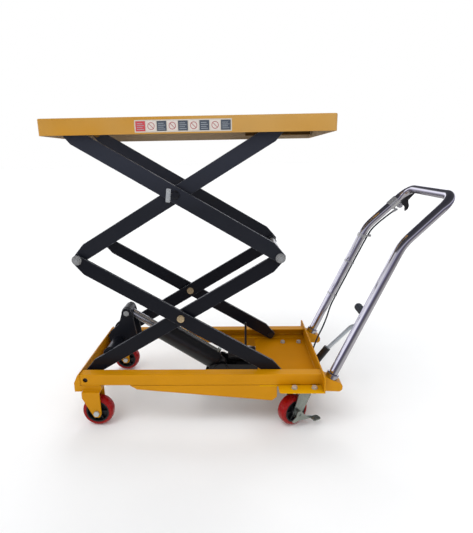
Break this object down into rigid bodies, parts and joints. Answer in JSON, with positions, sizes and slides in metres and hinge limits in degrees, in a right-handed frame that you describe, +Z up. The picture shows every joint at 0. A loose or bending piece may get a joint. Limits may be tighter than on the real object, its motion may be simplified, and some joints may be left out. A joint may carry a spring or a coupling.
{
  "type": "scissor lift table",
  "caption": "Wheeled hydraulic double scissor lift table: steel deck on crossed arms, foot-pumped cylinder, push handle with release lever, fixed front wheels and braked swivel casters.",
  "frame": {"origin": "on the floor, in the middle of the overall length and width", "axes": "+X from the fixed wheels towards the push handle, +Z up, +Y completes a right-handed set"},
  "size_m": [1.3338, 0.548, 1.071],
  "materials": {
    "yellow_paint": "gloss powder coat",
    "table_paint": "satin powder coat",
    "black_paint": "satin black paint",
    "dark_steel": "black painted casting",
    "zinc": "bright zinc plate",
    "yellow_zinc": "yellowish zinc plate",
    "steel": "turned steel",
    "chrome": "polished chrome plate",
    "red_tyre": "red polyurethane tread",
    "hub_black": "moulded hub",
    "black_rubber": "black rubber",
    "black_plastic": "moulded plastic"
  },
  "bodies": {
    "base": {"rail_left": "yellow_paint", "rail_right": "yellow_paint", "front_crossplate": "yellow_paint", "end_plate": "yellow_paint", "floor_plate": "yellow_paint", "skirt_plates": "yellow_paint", "front_forks": "yellow_paint", "front_axle_bolts": "zinc", "caster_plates": "zinc", "caster_bolts": "zinc", "hydraulic_cradle": "dark_steel", "pump_body": "dark_steel", "pump_reservoir": "dark_steel", "pedal_bracket": "dark_steel", "handle_tube": "chrome", "handle_collars": "chrome", "handle_brackets": "yellow_paint", "lever_clamp": "steel", "release_cable": "black_rubber", "cable_clips": "steel"},
    "front_wheel_left": {"front_hub_left": "hub_black", "front_tyre_left": "red_tyre"},
    "front_wheel_right": {"front_hub_right": "hub_black", "front_tyre_right": "red_tyre"},
    "caster_left": {"caster_fork_left": "zinc"},
    "caster_right": {"caster_fork_right": "zinc"},
    "caster_wheel_left": {"caster_hub_left": "hub_black", "caster_tyre_left": "red_tyre"},
    "caster_wheel_right": {"caster_hub_right": "hub_black", "caster_tyre_right": "red_tyre"},
    "brake_left": {"caster_brake_left": "zinc"},
    "brake_right": {"caster_brake_right": "zinc"},
    "pedal": {"pedal_socket": "dark_steel", "pedal_rod": "steel", "pedal_pad": "black_rubber"},
    "pushrod": {"pump_pushrod": "steel"},
    "release_lever": {"release_lever": "black_plastic"},
    "inner_lower": {"arm_inner_lower_left": "black_paint", "arm_inner_lower_right": "black_paint", "lift_crank": "black_paint", "inner_lower_pins": "yellow_zinc"},
    "outer_lower": {"arm_outer_lower_left": "black_paint", "arm_outer_lower_right": "black_paint", "outer_lower_pins": "yellow_zinc"},
    "outer_upper": {"arm_outer_upper_left": "black_paint", "arm_outer_upper_right": "black_paint", "upper_centre_pins": "black_paint"},
    "inner_upper": {"arm_inner_upper_left": "black_paint", "arm_inner_upper_right": "black_paint", "upper_roller_shaft": "steel"},
    "lower_rollers": {"lower_rollers": "steel"},
    "upper_rollers": {"upper_rollers": "steel"},
    "table": {"table_pan": "table_paint", "table_channels": "table_paint", "table_lugs": "table_paint"},
    "piston": {"piston_rod": "chrome"},
    "cylinder": {"cylinder_barrel": "dark_steel", "cylinder_gland": "steel", "cylinder_foot": "dark_steel", "return_pipe": "zinc"}
  },
  "joints": [
    {"name": "lower_lift", "type": "hinge", "parent": "base", "child": "inner_lower", "pos_m": [-0.6125, 0, 0.181], "axis": [0, -1, 0], "range_deg": [-26.67, 9.95]},
    {"name": "lower_cross", "type": "hinge", "parent": "inner_lower", "child": "outer_lower", "pos_m": [-0.26234, 0, 0.39811], "axis": [0, -1, 0], "range_deg": [-20, 53.5]},
    {"name": "elbow", "type": "hinge", "parent": "inner_lower", "child": "outer_upper", "pos_m": [0.08781, 0, 0.61521], "axis": [0, -1, 0], "range_deg": [-20, 53.5]},
    {"name": "upper_cross", "type": "hinge", "parent": "outer_upper", "child": "inner_upper", "pos_m": [-0.26234, 0, 0.83232], "axis": [0, -1, 0], "range_deg": [-53.5, 20]},
    {"name": "table_level", "type": "hinge", "parent": "outer_upper", "child": "table", "pos_m": [-0.6125, 0, 1.04942], "axis": [0, -1, 0], "range_deg": [-26.8, 10]},
    {"name": "lower_roller_spin", "type": "hinge", "parent": "outer_lower", "child": "lower_rollers", "pos_m": [0.08781, 0, 0.181], "axis": [0, -1, 0], "continuous": true},
    {"name": "upper_roller_spin", "type": "hinge", "parent": "inner_upper", "child": "upper_rollers", "pos_m": [0.08781, 0, 1.04942], "axis": [0, -1, 0], "continuous": true},
    {"name": "rod_swing", "type": "hinge", "parent": "inner_lower", "child": "piston", "pos_m": [-0.4945, 0, 0.368], "axis": [0, -1, 0], "range_deg": [-10.8, 28.8]},
    {"name": "cylinder_stroke", "type": "slide", "parent": "piston", "child": "cylinder", "axis": [0.839, 0, -0.5441], "range_m": [-0.1, 0.0376]},
    {"name": "pedal_pump", "type": "hinge", "parent": "base", "child": "pedal", "pos_m": [0.2355, 0, 0.126], "axis": [0, 1, 0], "range_deg": [0, 28], "stiffness_Nm_per_rad": 18, "springref_deg": -25.78},
    {"name": "pump_stroke", "type": "slide", "parent": "base", "child": "pushrod", "axis": [-1, 0, 0], "range_m": [0, 0.0128]},
    {"name": "release", "type": "hinge", "parent": "base", "child": "release_lever", "pos_m": [0.61345, 0.19, 0.74738], "axis": [0, 1, 0], "range_deg": [0, 14], "stiffness_Nm_per_rad": 1.2, "springref_deg": -17.19},
    {"name": "front_wheel_left_spin", "type": "hinge", "parent": "base", "child": "front_wheel_left", "pos_m": [-0.5765, -0.213, 0.057], "axis": [0, 1, 0], "continuous": true},
    {"name": "caster_left_swivel", "type": "hinge", "parent": "base", "child": "caster_left", "pos_m": [0.1725, -0.193, 0.14], "axis": [0, 0, 1], "continuous": true},
    {"name": "caster_wheel_left_spin", "type": "hinge", "parent": "caster_left", "child": "caster_wheel_left", "pos_m": [0.13671, -0.213, 0.057], "axis": [-0.4879, 0.8729, 0], "continuous": true},
    {"name": "brake_left_pedal", "type": "hinge", "parent": "caster_left", "child": "brake_left", "pos_m": [0.13671, -0.213, 0.057], "axis": [-0.4879, 0.8729, 0], "range_deg": [0, 12]},
    {"name": "front_wheel_right_spin", "type": "hinge", "parent": "base", "child": "front_wheel_right", "pos_m": [-0.5765, 0.213, 0.057], "axis": [0, 1, 0], "continuous": true},
    {"name": "caster_right_swivel", "type": "hinge", "parent": "base", "child": "caster_right", "pos_m": [0.1725, 0.193, 0.14], "axis": [0, 0, 1], "continuous": true},
    {"name": "caster_wheel_right_spin", "type": "hinge", "parent": "caster_right", "child": "caster_wheel_right", "pos_m": [0.1324, 0.18448, 0.057], "axis": [-0.2079, 0.9781, 0], "continuous": true},
    {"name": "brake_right_pedal", "type": "hinge", "parent": "caster_right", "child": "brake_right", "pos_m": [0.1324, 0.18448, 0.057], "axis": [-0.2079, 0.9781, 0], "range_deg": [0, 12]}
  ],
  "couplings": [
    {"joint": "lower_cross", "follows": "lower_lift", "ratio": -2},
    {"joint": "elbow", "follows": "lower_lift", "ratio": -2},
    {"joint": "upper_cross", "follows": "lower_lift", "ratio": 2},
    {"joint": "table_level", "follows": "lower_lift", "ratio": 1},
    {"joint": "rod_swing", "follows": "lower_lift", "ratio": -1.077},
    {"joint": "cylinder_stroke", "follows": "lower_lift", "m_per_rad": 0.214},
    {"joint": "pump_stroke", "follows": "pedal_pump", "m_per_rad": 0.026}
  ]
}
